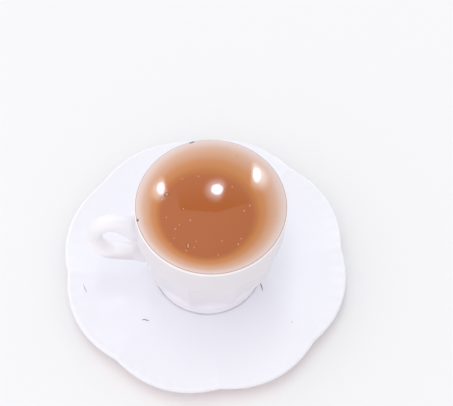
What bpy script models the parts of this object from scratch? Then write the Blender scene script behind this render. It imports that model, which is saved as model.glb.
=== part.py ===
"""A miniature cup of coffee on its saucer, as made for dolls' houses and craft work.

Three pieces rest in one another: a saucer with eight round lobes, a fluted cup with a loop
handle, and the set resin that stands for the coffee and domes up over the cup's rim.
The origin is on the surface that the saucer stands on, under the saucer's centre. The cup's
handle points to -X, and the front of the part faces -Y.
"""
from math import atan2, cos, hypot, pi, radians, sin

import bmesh
import bpy
from mathutils import Matrix, Vector

MM = 0.001

# Fit between pieces that rest in one another
GAP = 0.05 * MM
MERGE = 0.001 * MM

# Saucer
SAUCER_RADIUS = 12.5 * MM
SAUCER_STEPS = 96
LOBES = 8
LOBE_TURN = radians(30)
NOTCH_DEPTH = 0.036
PETAL_DEPTH = 0.14 * MM
PETAL_MIDDLE = 0.5
PETAL_START = 6.6 * MM
WELL_RADIUS = 4.97 * MM
WELL_FLOOR = 0.90 * MM
WELL_RING_HEIGHT = 0.24 * MM
WELL_RING_WIDTH = 0.38 * MM
WELL_RING_SLOPE = 0.13 * MM
WELL_RING_FOOT = 0.50 * MM
FLANGE_START = 5.6 * MM
FLANGE_START_HEIGHT = 1.06 * MM
FLANGE_RISE = 0.98 * MM
FLANGE_CURVE = 2.1
FLANGE_ROWS = 5
LIP_RADIUS = 0.26 * MM
LIP_TURN = radians(160)
LIP_ROWS = 4
SAUCER_THICKNESS = 0.62 * MM
FOOT_RING_OUTER = 6.35 * MM
FOOT_RING_INNER = 5.65 * MM
FOOT_RING_SLOPE = 0.12 * MM
FOOT_RECESS = 0.30 * MM

# Cup, measured up from the bottom of its foot
CUP_PLACE = Vector((0.46 * MM, 0.0, WELL_FLOOR + GAP))
CUP_TURN = radians(183.5)
# How far the cup leans to +X for each unit of height, its rim staying over its place
CUP_LEAN = 0.023
CUP_STEPS = 80
CUP_HEIGHT = 11.35 * MM
CUP_RADIUS = 6.30 * MM
RIM_THICKNESS = 0.55 * MM
RIM_ROWS = 5
WAIST_RADIUS = 4.62 * MM
WAIST_HEIGHT = 0.60 * MM
BELLY_TOP = 8.50 * MM
BELLY_CURVE = 0.85
BELLY_HEIGHTS = [h * MM for h in (8.5, 7.9, 7.55, 7.2, 6.2, 5.2, 4.2, 3.2, 2.3, 1.5, 1.0)]
CUP_FOOT_OUTER = 4.72 * MM
CUP_FOOT_INNER = 4.00 * MM
CUP_FOOT_EDGE = 0.10 * MM
CUP_FOOT_RECESS = 0.22 * MM
FLUTES = 10
FLUTE_DEPTH = 0.24 * MM
FLUTE_LOW = 0.60 * MM
FLUTE_LOW_FULL = 1.50 * MM
FLUTE_HIGH_FULL = 7.20 * MM
FLUTE_HIGH = 7.90 * MM
BOWL_FLOOR = 1.00 * MM
BOWL_TOP = 8.50 * MM
BOWL_CURVE = 0.5
BOWL_ROWS = 4

# Handle
HANDLE_THICKNESS = 1.56 * MM
HANDLE_WIDENING = 1.10
HANDLE_RESOLUTION = 6
HANDLE_BEVEL = 4
# Points of the handle's centre line: out from the cup's axis, up from its foot, thickness as a
# share of the handle's own, then the tangent out and up, with all lengths in millimetres
HANDLE_PATH = (
    (5.98, 7.42, 1.15, 0.60, 0.07),
    (8.30, 8.58, 0.97, 0.80, 0.00),
    (9.55, 6.20, 0.96, 0.00, -1.40),
    (8.00, 3.50, 1.00, -0.90, -0.16),
    (4.55, 2.72, 1.15, -1.20, -0.12),
)

# Coffee
COFFEE_RISE = 1.70 * MM
COFFEE_FLATNESS = 0.35
COFFEE_EDGE_ANGLE = radians(25)
DOME_ROWS = 7
CREEP_ROWS = 3

# Finishes
CERAMIC_WHITE = (0.86, 0.85, 0.88, 1.0)
COFFEE_BROWN = (0.42, 0.13, 0.035, 1.0)
CERAMIC_ROUGHNESS = 0.12
COFFEE_ROUGHNESS = 0.05
SHARP_ANGLE = radians(35)


def clear_scene():
    """Remove whatever the open file holds."""
    for thing in list(bpy.data.objects):
        bpy.data.objects.remove(thing, do_unlink=True)


def new_collection(name):
    """Make a collection under the scene."""
    group = bpy.data.collections.new(name)
    bpy.context.scene.collection.children.link(group)
    return group


def new_material(name, colour, roughness):
    """Make a glossy, non-metallic finish."""
    material = bpy.data.materials.new(name)
    material.use_nodes = True
    shader = material.node_tree.nodes["Principled BSDF"]
    shader.inputs["Base Color"].default_value = colour
    shader.inputs["Roughness"].default_value = roughness
    shader.inputs["Metallic"].default_value = 0.0
    material.diffuse_color = colour
    return material


def smoothstep(low, high, value):
    """Ease from 0 at low to 1 at high."""
    part = min(max((value - low) / (high - low), 0.0), 1.0)
    return part * part * (3.0 - 2.0 * part)


def arc(centre, radius, start, end, rows):
    """Points of a circle arc in a turned profile, its angles measured from straight up, outwards."""
    angles = [start + (end - start) * row / rows for row in range(rows + 1)]
    return [(centre[0] + radius * sin(angle), centre[1] + radius * cos(angle)) for angle in angles]


def bake_modifiers(thing):
    """Replace an object's mesh by the one that its modifiers make."""
    graph = bpy.context.evaluated_depsgraph_get()
    mesh = bpy.data.meshes.new_from_object(thing.evaluated_get(graph))
    old_mesh = thing.data
    thing.modifiers.clear()
    thing.data = mesh
    mesh.name = thing.name
    bpy.data.meshes.remove(old_mesh)


def turn_profile(name, profile, steps, group):
    """Turn a profile of (radius, height) points about Z. It runs down the outer side."""
    mesh = bpy.data.meshes.new(name)
    edges = [(row, row + 1) for row in range(len(profile) - 1)]
    mesh.from_pydata([(radius, 0.0, height) for radius, height in profile], edges, [])
    thing = bpy.data.objects.new(name, mesh)
    group.objects.link(thing)
    screw = thing.modifiers.new("Turn", "SCREW")
    screw.axis = "Z"
    screw.steps = steps
    screw.render_steps = steps
    screw.use_merge_vertices = True
    screw.merge_threshold = MERGE
    screw.use_normal_calculate = False
    bake_modifiers(thing)
    return thing


def reshape(thing, rule):
    """Move each vertex by a rule from (angle, radius, height) to a new radius and height."""
    for vertex in thing.data.vertices:
        place = vertex.co
        radius = hypot(place.x, place.y)
        if radius < MERGE:
            continue
        angle = atan2(place.y, place.x)
        new_radius, new_height = rule(angle, radius, place.z)
        vertex.co = (new_radius * cos(angle), new_radius * sin(angle), new_height)


def stand_in_place(thing, place, turn):
    """Turn an object about Z and move it to its place."""
    thing.location = place
    thing.rotation_euler = (0.0, 0.0, turn)


def stand_in_saucer(thing):
    """Put a piece in the cup's place and let it lean to +X, its foot staying flat."""
    turn = Matrix.Rotation(CUP_TURN, 4, "Z")
    slant = Matrix.Identity(4)
    slant[0][2] = CUP_LEAN
    slant[0][3] = -CUP_LEAN * CUP_HEIGHT
    thing.data.transform(turn.inverted() @ slant @ turn)
    stand_in_place(thing, CUP_PLACE, CUP_TURN)


def shade(thing, material):
    """Give an object its finish and smooth shading."""
    thing.data.materials.clear()
    thing.data.materials.append(material)
    thing.data.shade_smooth()
    thing.data.set_sharp_from_angle(angle=SHARP_ANGLE)


def flange_height(radius):
    """Height of the saucer's upper face between its well ring and its lip."""
    span = (radius - FLANGE_START) / (SAUCER_RADIUS - FLANGE_START)
    return FLANGE_START_HEIGHT + FLANGE_RISE * max(span, 0.0) ** FLANGE_CURVE


def saucer_profile():
    """Half section of the saucer, before its lobes are formed."""
    ring_crest = WELL_RADIUS + WELL_RING_WIDTH / 2
    lip_centre_radius = SAUCER_RADIUS - LIP_RADIUS
    lip_centre = (lip_centre_radius, flange_height(lip_centre_radius) - LIP_RADIUS)
    profile = [
        (0.0, WELL_FLOOR),
        (WELL_RADIUS - WELL_RING_SLOPE, WELL_FLOOR),
        (WELL_RADIUS, WELL_FLOOR + WELL_RING_HEIGHT / 2),
        (ring_crest, WELL_FLOOR + WELL_RING_HEIGHT),
        (WELL_RADIUS + WELL_RING_FOOT, FLANGE_START_HEIGHT),
    ]
    for row in range(FLANGE_ROWS):
        radius = FLANGE_START + (lip_centre_radius - FLANGE_START) * row / FLANGE_ROWS
        profile.append((radius, flange_height(radius)))
    profile += arc(lip_centre, LIP_RADIUS, 0.0, LIP_TURN, LIP_ROWS)
    for row in range(1, FLANGE_ROWS):
        radius = lip_centre_radius + (FOOT_RING_OUTER - lip_centre_radius) * row / FLANGE_ROWS
        profile.append((radius, flange_height(radius) - SAUCER_THICKNESS))
    profile += [
        (FOOT_RING_OUTER + FOOT_RING_SLOPE, FOOT_RECESS),
        (FOOT_RING_OUTER, 0.0),
        (FOOT_RING_INNER, 0.0),
        (FOOT_RING_INNER - FOOT_RING_SLOPE, FOOT_RECESS),
        (0.0, FOOT_RECESS),
    ]
    return profile


def lobe_rule(angle, radius, height):
    """Draw the rim in at eight notches, and hollow each lobe like a petal."""
    lobe = abs(cos(LOBES * angle / 2))
    reach = smoothstep(PETAL_START, SAUCER_RADIUS, radius)
    drawn_in = radius * (1.0 - NOTCH_DEPTH * reach * (1.0 - lobe))
    return drawn_in, height - PETAL_DEPTH * reach * (lobe - PETAL_MIDDLE)


def make_saucer(group, material):
    """The saucer with its well, lobes and foot ring."""
    saucer = turn_profile("saucer", saucer_profile(), SAUCER_STEPS, group)
    reshape(saucer, lobe_rule)
    stand_in_place(saucer, Vector((0.0, 0.0, 0.0)), LOBE_TURN)
    shade(saucer, material)
    return saucer


def belly_radius(height):
    """Radius of the cup's outer wall, from its waist up to where it stands upright."""
    rise = min(max((height - WAIST_HEIGHT) / (BELLY_TOP - WAIST_HEIGHT), 0.0), 1.0)
    return WAIST_RADIUS + (CUP_RADIUS - WAIST_RADIUS) * sin(rise * pi / 2) ** BELLY_CURVE


def bowl_radius(height):
    """Radius of the cup's inside, from its floor up to where the wall stands upright."""
    rise = min(max((height - BOWL_FLOOR) / (BOWL_TOP - BOWL_FLOOR), 0.0), 1.0)
    return (CUP_RADIUS - RIM_THICKNESS) * sin(rise * pi / 2) ** BOWL_CURVE


def bowl_heights():
    """Heights of the rows of the cup's inside, closest together near the floor."""
    depth = BOWL_TOP - BOWL_FLOOR
    return [BOWL_FLOOR + depth * (row / BOWL_ROWS) ** 2 for row in range(BOWL_ROWS + 1)]


def rim_centre():
    """Centre of the rim's round section."""
    return CUP_RADIUS - RIM_THICKNESS / 2, CUP_HEIGHT - RIM_THICKNESS / 2


def cup_profile():
    """Half section of the cup: up its inside, over the rim and down its outer side."""
    profile = [(bowl_radius(height), height) for height in bowl_heights()]
    profile += arc(rim_centre(), RIM_THICKNESS / 2, radians(-90), radians(90), RIM_ROWS)
    profile += [(belly_radius(height), height) for height in BELLY_HEIGHTS]
    profile += [
        (WAIST_RADIUS, WAIST_HEIGHT),
        (CUP_FOOT_OUTER, CUP_FOOT_EDGE),
        (CUP_FOOT_OUTER - CUP_FOOT_EDGE, 0.0),
        (CUP_FOOT_INNER, 0.0),
        (CUP_FOOT_INNER - CUP_FOOT_EDGE, CUP_FOOT_RECESS),
        (0.0, CUP_FOOT_RECESS),
    ]
    return profile


def flute_rule(angle, radius, height):
    """Hollow ten upright flutes into the belly, with a sharp ridge between each two."""
    if radius < belly_radius(height) - MERGE:
        return radius, height
    low = smoothstep(FLUTE_LOW, FLUTE_LOW_FULL, height)
    high = 1.0 - smoothstep(FLUTE_HIGH_FULL, FLUTE_HIGH, height)
    return radius - FLUTE_DEPTH * low * high * abs(sin(FLUTES * angle / 2)), height


def make_handle(group):
    """The handle as a closed tube, flattened a little, that ends inside the cup's wall."""
    curve = bpy.data.curves.new("handle_line", "CURVE")
    curve.dimensions = "3D"
    curve.resolution_u = HANDLE_RESOLUTION
    curve.render_resolution_u = HANDLE_RESOLUTION
    curve.bevel_depth = HANDLE_THICKNESS / 2
    curve.bevel_resolution = HANDLE_BEVEL
    curve.use_fill_caps = True
    spline = curve.splines.new("BEZIER")
    spline.bezier_points.add(len(HANDLE_PATH) - 1)
    for point, (out, up, share, tangent_out, tangent_up) in zip(spline.bezier_points, HANDLE_PATH):
        place = Vector((out, 0.0, up)) * MM
        tangent = Vector((tangent_out, 0.0, tangent_up)) * MM
        point.co = place
        point.handle_left = place - tangent
        point.handle_right = place + tangent
        point.radius = share
    line = bpy.data.objects.new("handle_line", curve)
    group.objects.link(line)
    graph = bpy.context.evaluated_depsgraph_get()
    mesh = bpy.data.meshes.new_from_object(line.evaluated_get(graph))
    bpy.data.objects.remove(line, do_unlink=True)
    shape = bmesh.new()
    shape.from_mesh(mesh)
    bmesh.ops.remove_doubles(shape, verts=shape.verts, dist=MERGE)
    bmesh.ops.recalc_face_normals(shape, faces=shape.faces)
    shape.to_mesh(mesh)
    shape.free()
    mesh.transform(Matrix.Diagonal((1.0, HANDLE_WIDENING, 1.0, 1.0)))
    handle = bpy.data.objects.new("handle_tube", mesh)
    group.objects.link(handle)
    handle.hide_render = True
    handle.display_type = "WIRE"
    return handle


def make_cup(group, tools, material):
    """The fluted cup, with its handle fused on."""
    cup = turn_profile("cup", cup_profile(), CUP_STEPS, group)
    reshape(cup, flute_rule)
    stand_in_saucer(cup)
    handle = make_handle(tools)
    stand_in_saucer(handle)
    join = cup.modifiers.new("Join handle", "BOOLEAN")
    join.operation = "UNION"
    join.solver = "EXACT"
    join.object = handle
    shade(cup, material)
    return cup


def dome_height(radius, edge):
    """Height of the resin's free surface above its edge: flatter in the middle than a ball."""
    share = radius / edge
    plain = 1.0 - share ** 2
    flat = 1.0 - share ** 4
    return COFFEE_RISE * ((1.0 - COFFEE_FLATNESS) * plain + COFFEE_FLATNESS * flat)


def coffee_profile():
    """Half section of the resin: the dome out to the rim's crown, then in and down the bowl."""
    creep = arc(rim_centre(), RIM_THICKNESS / 2 + GAP, COFFEE_EDGE_ANGLE, radians(-90), CREEP_ROWS)
    edge_radius, edge_height = creep[0]
    profile = []
    for row in range(DOME_ROWS):
        radius = edge_radius * row / DOME_ROWS
        profile.append((radius, edge_height + dome_height(radius, edge_radius)))
    profile += creep
    for height in reversed(bowl_heights()[1:]):
        profile.append((max(bowl_radius(height) - GAP, 0.0), height))
    profile.append((0.0, BOWL_FLOOR + GAP))
    return profile


def make_coffee(group, material):
    """The set resin that fills the cup and domes over its rim."""
    coffee = turn_profile("coffee", coffee_profile(), CUP_STEPS, group)
    stand_in_saucer(coffee)
    shade(coffee, material)
    return coffee


def main():
    """Build the cup, its saucer and its coffee."""
    clear_scene()
    parts = new_collection("cup_of_coffee")
    tools = new_collection("cutters")
    make_saucer(parts, new_material("saucer_ceramic", CERAMIC_WHITE, CERAMIC_ROUGHNESS))
    make_cup(parts, tools, new_material("cup_ceramic", CERAMIC_WHITE, CERAMIC_ROUGHNESS))
    make_coffee(parts, new_material("coffee_resin", COFFEE_BROWN, COFFEE_ROUGHNESS))


main()
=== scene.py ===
"""Looks of a miniature cup of coffee, laid out as a Blender add-on and run as a script.

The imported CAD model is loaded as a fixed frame. Operators then build the fine saucer, the fine
cup and the resin coffee in the places of their CAD nodes, the bubbles, flecks and lint that lie
on them, and the table, lamps and camera round them. All lengths are in metres.
"""
from math import cos, exp, hypot, pi, radians, sin, sqrt, tan

import bmesh
import bpy
from mathutils import Matrix, Vector
from mathutils.geometry import interpolate_bezier


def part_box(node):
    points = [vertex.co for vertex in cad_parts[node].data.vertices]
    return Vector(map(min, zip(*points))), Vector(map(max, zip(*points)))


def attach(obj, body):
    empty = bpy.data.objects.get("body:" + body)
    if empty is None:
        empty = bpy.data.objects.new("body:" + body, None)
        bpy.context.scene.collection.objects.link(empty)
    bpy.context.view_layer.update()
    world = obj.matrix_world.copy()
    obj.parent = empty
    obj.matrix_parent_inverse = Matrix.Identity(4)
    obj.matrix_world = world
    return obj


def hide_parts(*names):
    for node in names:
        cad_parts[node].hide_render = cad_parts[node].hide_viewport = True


bl_info = {
    "name": "Miniature cup of coffee",
    "version": (1, 0, 0),
    "blender": (4, 5, 0),
    "location": "3D View > Sidebar > Coffee",
    "description": "Builds the fine pieces, finishes and studio of a miniature cup of coffee",
    "category": "Add Mesh",
}

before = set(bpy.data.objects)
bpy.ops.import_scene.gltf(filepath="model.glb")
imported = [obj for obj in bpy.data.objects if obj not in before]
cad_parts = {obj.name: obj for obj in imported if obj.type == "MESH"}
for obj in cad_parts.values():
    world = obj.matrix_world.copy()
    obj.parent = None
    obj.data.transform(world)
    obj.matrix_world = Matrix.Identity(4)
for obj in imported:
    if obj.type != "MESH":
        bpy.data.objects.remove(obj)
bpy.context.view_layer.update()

MM = 0.001
TINY = 1e-7
UP = Vector((0.0, 0.0, 1.0))
BODY = "root"

# Places taken from the frame
COFFEE_LOW, COFFEE_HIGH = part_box("coffee")
CUP_LOW, CUP_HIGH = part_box("cup")
CUP_AXIS_X = (COFFEE_LOW.x + COFFEE_HIGH.x) / 2
CUP_AXIS_Y = (COFFEE_LOW.y + COFFEE_HIGH.y) / 2
CUP_PLACE = Vector((CUP_AXIS_X, CUP_AXIS_Y, CUP_LOW.z))
CUP_TALL = CUP_HIGH.z - CUP_LOW.z
# How far the cup leans to +X for each unit of height, its rim staying over its place
CUP_LEAN = 0.023

# Points of the handle's centre line: out from the cup's axis, up from its foot, thickness as a
# share of the handle's own, then the tangent out and up, with all lengths in millimetres
HANDLE_PATH = (
    (5.98, 7.42, 1.15, 0.60, 0.07),
    (8.30, 8.64, 0.88, 0.80, 0.00),
    (9.66, 6.20, 0.80, 0.00, -1.40),
    (8.00, 3.50, 0.90, -0.90, -0.12),
    (4.55, 3.02, 1.00, -1.20, -0.08),
)

# Bubbles in the resin's skin: place across and back from the cup's axis, and radius, in millimetres
BUBBLES = (
    (-3.66, 0.24, 0.13),
    (-1.65, -2.18, 0.08),
    (-2.84, -2.82, 0.07),
    (2.27, -3.96, 0.08),
    (1.67, 0.93, 0.07),
    (3.13, -0.66, 0.08),
    (2.68, -1.17, 0.08),
    (-1.13, 1.84, 0.08),
    (-2.43, 1.64, 0.07),
    (-2.25, -1.17, 0.06),
    (-1.26, -4.34, 0.06),
    (0.98, -3.80, 0.06),
    (2.50, -3.51, 0.06),
    (-1.11, -3.89, 0.06),
    (-3.21, -3.99, 0.06),
    (-4.00, -0.20, 0.06),
    (0.69, -4.87, 0.06),
    (-3.61, -1.79, 0.06),
    (-2.53, -2.51, 0.05),
    (-1.90, -4.57, 0.06),
    (-2.90, -3.56, 0.05),
)


def length_property(name, text, default):
    """A size in metres."""
    return bpy.props.FloatProperty(name=name, description=text, default=default, min=0.0, unit="LENGTH")


def share_property(name, text, default):
    """A plain number."""
    return bpy.props.FloatProperty(name=name, description=text, default=default)


def power_property(name, text, default):
    """A power in watts."""
    return bpy.props.FloatProperty(name=name, description=text, default=default, min=0.0, unit="POWER")


def count_property(name, text, default):
    """A whole number of at least one."""
    return bpy.props.IntProperty(name=name, description=text, default=default, min=1)


def angle_property(name, text, default):
    """An angle in radians."""
    return bpy.props.FloatProperty(name=name, description=text, default=default, subtype="ANGLE")


def colour_property(name, text, default):
    """A linear colour."""
    return bpy.props.FloatVectorProperty(
        name=name, description=text, default=default, size=3, min=0.0, max=1.0, subtype="COLOR"
    )


class SaucerSettings(bpy.types.PropertyGroup):
    """Sizes and glaze of the saucer."""

    radius: length_property("Radius", "Out to the top of a lobe", 12.5 * MM)
    lobes: count_property("Lobes", "Round lobes along the rim", 8)
    lobe_turn: angle_property("Lobe turn", "Turn of the lobes about the middle", radians(30))
    notch_depth: share_property("Notch depth", "How far the rim draws in between lobes", 0.036)
    petal_depth: length_property("Petal depth", "How far each lobe is hollowed", 0.14 * MM)
    petal_start: length_property("Petal start", "Radius at which the lobes begin", 6.6 * MM)
    well_radius: length_property("Well radius", "Edge of the well that the cup stands in", 4.77 * MM)
    well_floor: length_property("Well floor", "Height of the well's floor", 0.92 * MM)
    well_slope: length_property("Well slope", "Half width of the well's edge", 0.09 * MM)
    bead_height: length_property("Bead height", "Height of the bead round the well", 0.02 * MM)
    bead_width: length_property("Bead width", "Width of the bead round the well", 0.20 * MM)
    flange_start: length_property("Flange start", "Radius at which the flange begins to rise", 5.6 * MM)
    flange_height: length_property("Flange height", "Height at which the flange begins", 0.99 * MM)
    flange_rise: length_property("Flange rise", "Rise of the flange out to the rim", 1.05 * MM)
    flange_curve: share_property("Flange curve", "How late the flange turns up", 2.1)
    lip_radius: length_property("Lip radius", "Radius of the rounded rim", 0.26 * MM)
    thickness: length_property("Thickness", "Thickness of the flange", 0.62 * MM)
    ridges: count_property("Ridges", "Pressed ridges along the rim", 64)
    ridge_depth: length_property("Ridge depth", "Depth of the pressed ridges", 0.035 * MM)
    glaze: colour_property("Glaze", "Colour of the glaze", (0.858, 0.868, 0.918))


class CupSettings(bpy.types.PropertyGroup):
    """Sizes and glaze of the cup, with its painted highlight, painted light and painted shade."""

    turn: angle_property("Turn", "Where the handle points, from +X", radians(183.5))
    height: length_property("Height", "From the foot to the top of the rim", CUP_TALL)
    radius: length_property("Radius", "Outer radius at the rim", 6.30 * MM)
    rim: length_property("Rim", "Thickness of the rim", 0.55 * MM)
    waist_radius: length_property("Waist radius", "Outer radius just above the foot", 4.62 * MM)
    waist_height: length_property("Waist height", "Height of the waist above the foot", 0.60 * MM)
    belly_top: length_property("Belly top", "Height at which the wall stands upright", 8.50 * MM)
    belly_curve: share_property("Belly curve", "How round the outside is", 0.85)
    bowl_floor: length_property("Bowl floor", "Height of the bowl's floor", 1.00 * MM)
    bowl_curve: share_property("Bowl curve", "How round the inside is", 0.5)
    foot_outer: length_property("Foot outer", "Outer radius of the foot", 4.72 * MM)
    foot_inner: length_property("Foot inner", "Inner radius of the foot ring", 4.00 * MM)
    foot_recess: length_property("Foot recess", "Depth of the hollow under the foot", 0.22 * MM)
    flutes: count_property("Flutes", "Upright hollows round the belly", 10)
    flute_depth: length_property("Flute depth", "Depth of each flute", 0.42 * MM)
    handle_thickness: length_property("Handle thickness", "Thickness of the handle", 1.56 * MM)
    handle_widening: share_property("Handle widening", "How much wider than high the handle is", 1.10)
    band_colour: colour_property("Band colour", "Glaze of the plain band", (0.800, 0.785, 0.815))
    # The rim's colour is a painted highlight: a whiter band along the top of the rim
    rim_painted_light: colour_property("Rim colour", "Glaze of the rounded rim", (0.990, 0.960, 0.960))
    glaze: colour_property("Glaze", "Glaze of the fluted belly", (0.805, 0.795, 0.840))
    # Painted light: a paler, bluer glaze low on the belly that lifts the shade over the foot
    foot_painted_light: colour_property("Foot colour", "Glaze low on the belly", (0.930, 0.930, 0.985))
    # Painted light and shade on the handle: its upper arm lit, the top of its lower arm lit, the underside
    # of its lower arm shaded
    handle_upper_arm_lit: colour_property("Handle, high", "Glaze of the handle's upper arm", (0.885, 0.890, 0.930))
    handle_lower_arm_lit: colour_property("Handle, inner", "Glaze on top of the lower arm", (0.970, 0.970, 0.985))
    handle_underside_shade: colour_property("Handle, low", "Glaze under the lower arm", (0.790, 0.765, 0.820))


class CoffeeSettings(bpy.types.PropertyGroup):
    """Shape and colours of the resin coffee."""

    rise: length_property("Rise", "Height of the dome above its edge", 1.70 * MM)
    flatness: share_property("Flatness", "How flat the middle of the dome is", 0.35)
    edge_angle: angle_property("Edge angle", "Where on the round rim the dome ends", radians(25))
    film_angle: angle_property("Film angle", "Where on the round rim the thin film ends", radians(50))
    film: length_property("Film", "Thickness of the resin where it creeps over the rim", 0.02 * MM)
    sink: length_property("Sink", "How far the resin reaches into the wall", 0.03 * MM)
    deep: colour_property("Deep colour", "Resin over the full depth", (0.415, 0.117, 0.030))
    amber: colour_property("Amber colour", "Resin where it starts to thin", (0.515, 0.195, 0.055))
    tan: colour_property("Tan colour", "Resin half way to the edge", (0.575, 0.275, 0.135))
    milk: colour_property("Milk colour", "Thin resin over the white wall", (0.67, 0.450, 0.345))
    edge: colour_property("Edge colour", "Thinnest resin at the edge", (0.74, 0.610, 0.570))
    # Painted shade: a darker line where the resin meets the rim's glaze
    edge_shade_line: colour_property("Contact colour", "Line where resin meets glaze", (0.48, 0.350, 0.310))


class DetailSettings(bpy.types.PropertyGroup):
    """Colours of the bubbles and flecks in the resin, and of the painted shade round the two largest
    bubbles.
    """

    bubble_colour: colour_property("Bubble colour", "Bubbles in the skin", (0.70, 0.31, 0.16))
    # Painted shade: dark rings round the edges of the two largest bubbles
    bubble_shade_colour: colour_property("Edge colour", "Edges of the two largest bubbles", (0.33, 0.105, 0.035))
    fleck_colour: colour_property("Fleck colour", "Dust flecks at the rim", (0.20, 0.17, 0.14))


class LintSettings(bpy.types.PropertyGroup):
    """Loose fibres on the saucer."""

    colour: colour_property("Colour", "Loose fibres on the saucer", (0.11, 0.10, 0.12))
    radius: length_property("Radius", "Radius of a fibre", 0.028 * MM)


class StageSettings(bpy.types.PropertyGroup):
    """Table, lamps and camera."""

    table_width: length_property("Table width", "Side of the table top", 3.0)
    table_colour: colour_property("Table colour", "Paint of the table", (0.860, 0.875, 0.880))
    # Painted shadow: a warmer tint of the table round the saucer, where its shadow falls
    table_shadow_tint: colour_property("Table near", "Warmer tone of it near the saucer", (0.990, 0.910, 0.895))
    sky_strength: share_property("Sky strength", "Brightness of the surroundings", 1.0)
    left_bias: share_property("Left bias", "How much brighter the left side is than the middle", 0.16)
    zenith: colour_property("Zenith", "Light from above", (0.945, 0.965, 0.990))
    horizon: colour_property("Horizon", "Light from the sides", (1.0, 0.80, 0.78))
    overhead_watts: power_property("Overhead watts", "Power of the long lamp overhead", 0.34)
    camera_elevation: angle_property("Camera elevation", "Camera above the table", radians(62.2))
    camera_distance: length_property("Camera distance", "Camera to the cup's foot", 0.150)
    camera_roll: angle_property("Camera roll", "Tilt of the picture", radians(1.5))


class MiniatureSettings(bpy.types.PropertyGroup):
    """Everything that the sidebar lists."""

    saucer: bpy.props.PointerProperty(type=SaucerSettings)
    cup: bpy.props.PointerProperty(type=CupSettings)
    coffee: bpy.props.PointerProperty(type=CoffeeSettings)
    detail: bpy.props.PointerProperty(type=DetailSettings)
    lint: bpy.props.PointerProperty(type=LintSettings)
    stage: bpy.props.PointerProperty(type=StageSettings)


# Shapes

SAUCER_STEPS = 576
CUP_STEPS = 400
SHARP_ANGLE = radians(50)


def share_between(low, high, value):
    """Share of the way from low to high, kept between 0 and 1."""
    return min(max((value - low) / (high - low), 0.0), 1.0)


def smoothstep(low, high, value):
    """Ease from 0 at low to 1 at high."""
    part = share_between(low, high, value)
    return part * part * (3.0 - 2.0 * part)


def between(start, end, rows):
    """Evenly spaced values from start to end, both included."""
    return [start + (end - start) * row / rows for row in range(rows + 1)]


def arc(centre, radius, start, end, rows):
    """Points of a circle arc in a turned profile, its angles measured from straight up, outwards."""
    return [
        (centre[0] + radius * sin(angle), centre[1] + radius * cos(angle))
        for angle in between(start, end, rows)
    ]


def plain_rule(angle, radius, height):
    """Leave a turned point where it is."""
    return radius, height


def round_ring(shape, centre, side, rise, radius, sides):
    """Add a ring of points round a centre, through its side and rise directions, to a bmesh."""
    ring = []
    for step in range(sides):
        angle = 2 * pi * step / sides
        ring.append(shape.verts.new(centre + (side * cos(angle) + rise * sin(angle)) * radius))
    return ring


def join_rings(shape, ring, following):
    """Add the faces between two rings of a bmesh, either of which may be a single point."""
    steps = max(len(ring), len(following))
    for step in range(steps):
        after = (step + 1) % steps
        corners = [ring[step % len(ring)], ring[after % len(ring)]]
        corners += [following[after % len(following)], following[step % len(following)]]
        shape.faces.new(list(dict.fromkeys(corners)))


def close_tube(shape, rings):
    """Add the faces of a tube through a row of rings, both its ends closed, to a bmesh."""
    for ring, following in zip(rings, rings[1:]):
        join_rings(shape, ring, following)
    shape.faces.new(rings[0])
    shape.faces.new(rings[-1])


def turned_piece(name, profile, steps, rule):
    """Turn a half section about Z, each point moved by a rule of (angle, radius, height)."""
    shape = bmesh.new()
    rows = []
    for radius, height in profile:
        if radius < TINY:
            rows.append([shape.verts.new((0.0, 0.0, height))])
            continue
        ring = []
        for step in range(steps):
            angle = 2 * pi * step / steps
            new_radius, new_height = rule(angle, radius, height)
            ring.append(shape.verts.new((new_radius * cos(angle), new_radius * sin(angle), new_height)))
        rows.append(ring)
    for ring, following in zip(rows, rows[1:]):
        join_rings(shape, ring, following)
    return solid_from(shape, name)


def solid_from(shape, name):
    """Put a closed bmesh into the scene as an object, its faces turned outwards."""
    bmesh.ops.recalc_face_normals(shape, faces=shape.faces)
    return piece_from(shape, name)


def piece_from(shape, name):
    """Put a bmesh into the scene as an object."""
    mesh = bpy.data.meshes.new(name)
    shape.to_mesh(mesh)
    shape.free()
    thing = bpy.data.objects.new(name, mesh)
    bpy.context.scene.collection.objects.link(thing)
    return thing


def dress(thing, material, node=None):
    """Smooth a piece, give it its material and let it ride on the body, for a node or not."""
    thing.data.shade_smooth()
    thing.data.set_sharp_from_angle(angle=SHARP_ANGLE)
    thing.data.materials.clear()
    thing.data.materials.append(material)
    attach(thing, BODY)
    if node:
        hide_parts(node)


# Saucer

WELL_ROWS = 10
FLANGE_ROWS = 90
LIP_ROWS = 10
UNDER_ROWS = 24
LIP_TURN = radians(160)
# How far the saucer's middle moves to +X, under the leaning cup's foot, and the radius where that ends
WELL_SHIFT = 0.20 * MM
WELL_SHIFT_END = 6.0 * MM
FOOT_RING_OUTER = 6.35 * MM
FOOT_RING_INNER = 5.65 * MM
FOOT_RING_SLOPE = 0.12 * MM
FOOT_RECESS = 0.30 * MM
PETAL_MIDDLE = 0.5
# Where the pressed ridges start, are full and start to fade, as shares of the saucer's radius
RIDGE_START = 0.88
RIDGE_FULL = 0.94
RIDGE_FADE = 0.975


def flange_height(sizes, radius):
    """Height of the saucer's upper face outside its well, without the bead."""
    span = (radius - sizes.flange_start) / (sizes.radius - sizes.flange_start)
    return sizes.flange_height + sizes.flange_rise * max(span, 0.0) ** sizes.flange_curve


def upper_height(sizes, radius):
    """Height of the saucer's upper face, with its well and the bead round it."""
    step = smoothstep(sizes.well_radius - sizes.well_slope, sizes.well_radius + sizes.well_slope, radius)
    crest = (radius - sizes.well_radius - sizes.bead_width) / sizes.bead_width
    bead = sizes.bead_height * exp(-crest * crest)
    return sizes.well_floor + (flange_height(sizes, radius) - sizes.well_floor) * step + bead * step


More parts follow.
